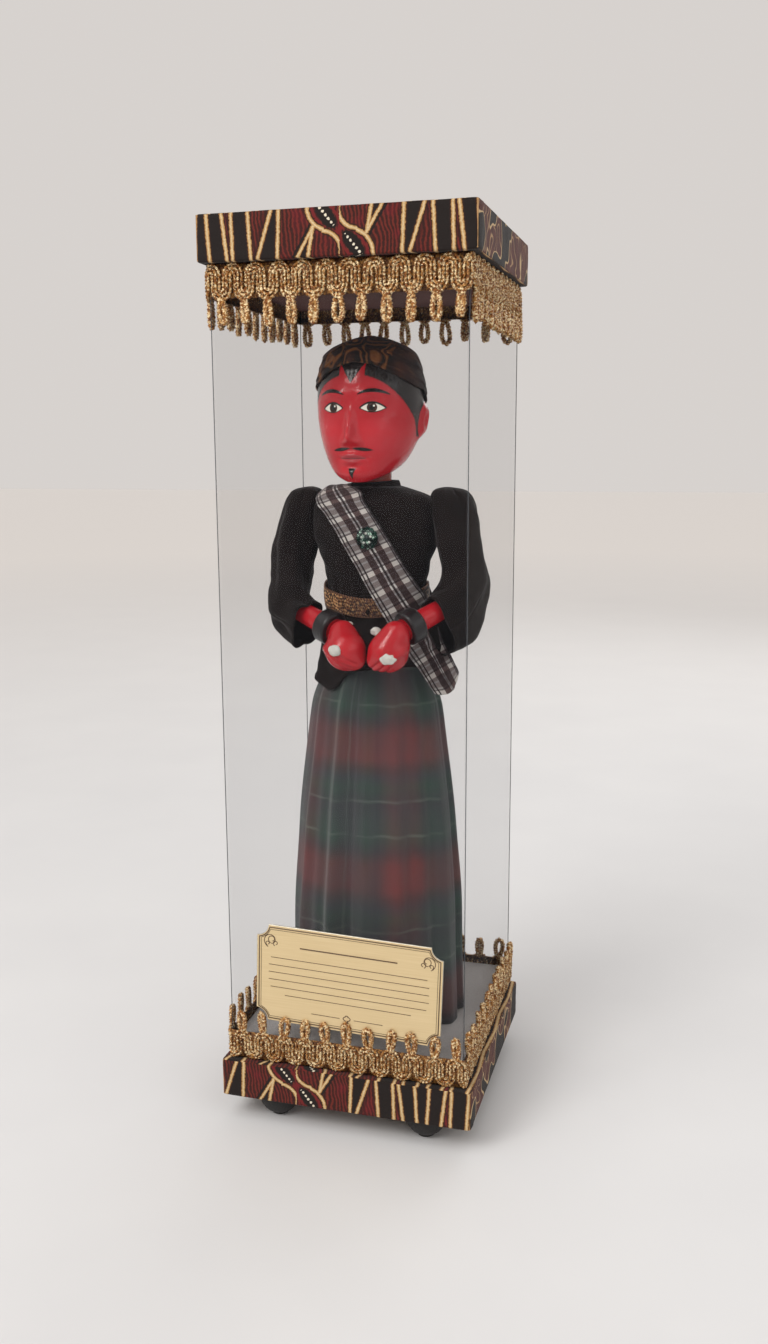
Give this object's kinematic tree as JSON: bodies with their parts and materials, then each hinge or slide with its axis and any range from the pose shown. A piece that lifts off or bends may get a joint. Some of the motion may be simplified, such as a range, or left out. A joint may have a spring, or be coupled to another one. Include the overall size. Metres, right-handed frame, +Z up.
{
  "type": "rod puppet in a display case",
  "caption": "Jointed wooden rod puppet in a jacket, sash and tartan sarong, with a turning head and hinged arms, inside a lift-off clear display case with braid trim.",
  "frame": {"origin": "on the surface that the case stands on, under the middle of its base", "axes": "+Z up, the puppet faces -Y, +X is the puppet's left"},
  "size_m": [0.12, 0.12, 0.408],
  "materials": {
    "black_rubber_foot": "satin",
    "board": "raw, hidden under the cloth",
    "case_cloth": "printed cotton, glued down",
    "plinth_cloth": "felt, grey below and brown above",
    "gold_braid": "metallic gold cord",
    "carved_wood": "bare carved softwood",
    "white_cord": "cotton cord",
    "black_cloth": "black cotton",
    "belt_ribbon": "woven metallic ribbon",
    "sash_cloth": "plaid cotton",
    "brooch_bead": "dark faceted beads on felt",
    "tartan": "tartan cotton",
    "red_lacquer": "glossy red lacquer on carved wood",
    "head_cloth": "printed cotton",
    "rod_wood": "bare turned wood",
    "black_bangle": "polished black",
    "clear_sheet": "clear acrylic sheet",
    "brass_plate": "brushed, with a dark engraved border"
  },
  "bodies": {
    "base": {"foot_front_left": "black_rubber_foot", "foot_front_right": "black_rubber_foot", "foot_back_left": "black_rubber_foot", "foot_back_right": "black_rubber_foot", "base_board": "board", "base_cloth": "case_cloth", "base_plinth": "plinth_cloth", "lower_braid": "gold_braid", "torso": "carved_wood", "shoulder_cord": "white_cord", "jacket": "black_cloth", "jacket_collar": "black_cloth", "belt": "belt_ribbon", "sash": "sash_cloth", "brooch": "brooch_bead", "sarong": "tartan"},
    "head_on_rod": {"head": "red_lacquer", "head_cloth": "head_cloth", "central_rod": "rod_wood", "rod_collar": "rod_wood"},
    "upper_arm_left": {"upper_arm_left": "red_lacquer", "sleeve_left": "black_cloth"},
    "forearm_left": {"sleeve_cuff_left": "black_cloth", "forearm_left": "red_lacquer", "elbow_cord_left": "white_cord", "wrist_peg_left": "rod_wood", "hand_left": "red_lacquer", "bangle_left": "black_bangle", "hand_cord_left": "white_cord"},
    "upper_arm_right": {"upper_arm_right": "red_lacquer", "sleeve_right": "black_cloth"},
    "forearm_right": {"sleeve_cuff_right": "black_cloth", "forearm_right": "red_lacquer", "elbow_cord_right": "white_cord", "wrist_peg_right": "rod_wood", "hand_right": "red_lacquer", "bangle_right": "black_bangle", "hand_cord_right": "white_cord"},
    "cover": {"pane_front": "clear_sheet", "pane_back": "clear_sheet", "pane_left": "clear_sheet", "pane_right": "clear_sheet", "cap_board": "board", "cap_cloth": "case_cloth", "cap_plinth": "plinth_cloth", "upper_braid": "gold_braid", "plaque": "brass_plate"}
  },
  "joints": [
    {"name": "cover_lift", "type": "slide", "parent": "base", "child": "cover", "axis": [0, 0, 1], "range_m": [0, 0.37]},
    {"name": "head_turn", "type": "hinge", "parent": "base", "child": "head_on_rod", "pos_m": [0, 0, 0.3], "axis": [0, 0, 1], "range_deg": [-90, 90]},
    {"name": "shoulder_swing_left", "type": "hinge", "parent": "base", "child": "upper_arm_left", "pos_m": [0.031, 0.005, 0.2815], "axis": [1, 0, 0], "range_deg": [-2, 2]},
    {"name": "elbow_bend_left", "type": "hinge", "parent": "upper_arm_left", "child": "forearm_left", "pos_m": [0.043, -0.007, 0.2455], "axis": [1, 0, 0], "range_deg": [-30, 3]},
    {"name": "shoulder_swing_right", "type": "hinge", "parent": "base", "child": "upper_arm_right", "pos_m": [-0.031, 0.005, 0.2815], "axis": [1, 0, 0], "range_deg": [-2, 2]},
    {"name": "elbow_bend_right", "type": "hinge", "parent": "upper_arm_right", "child": "forearm_right", "pos_m": [-0.041, -0.0135, 0.2415], "axis": [1, 0, 0], "range_deg": [-30, 3]}
  ]
}
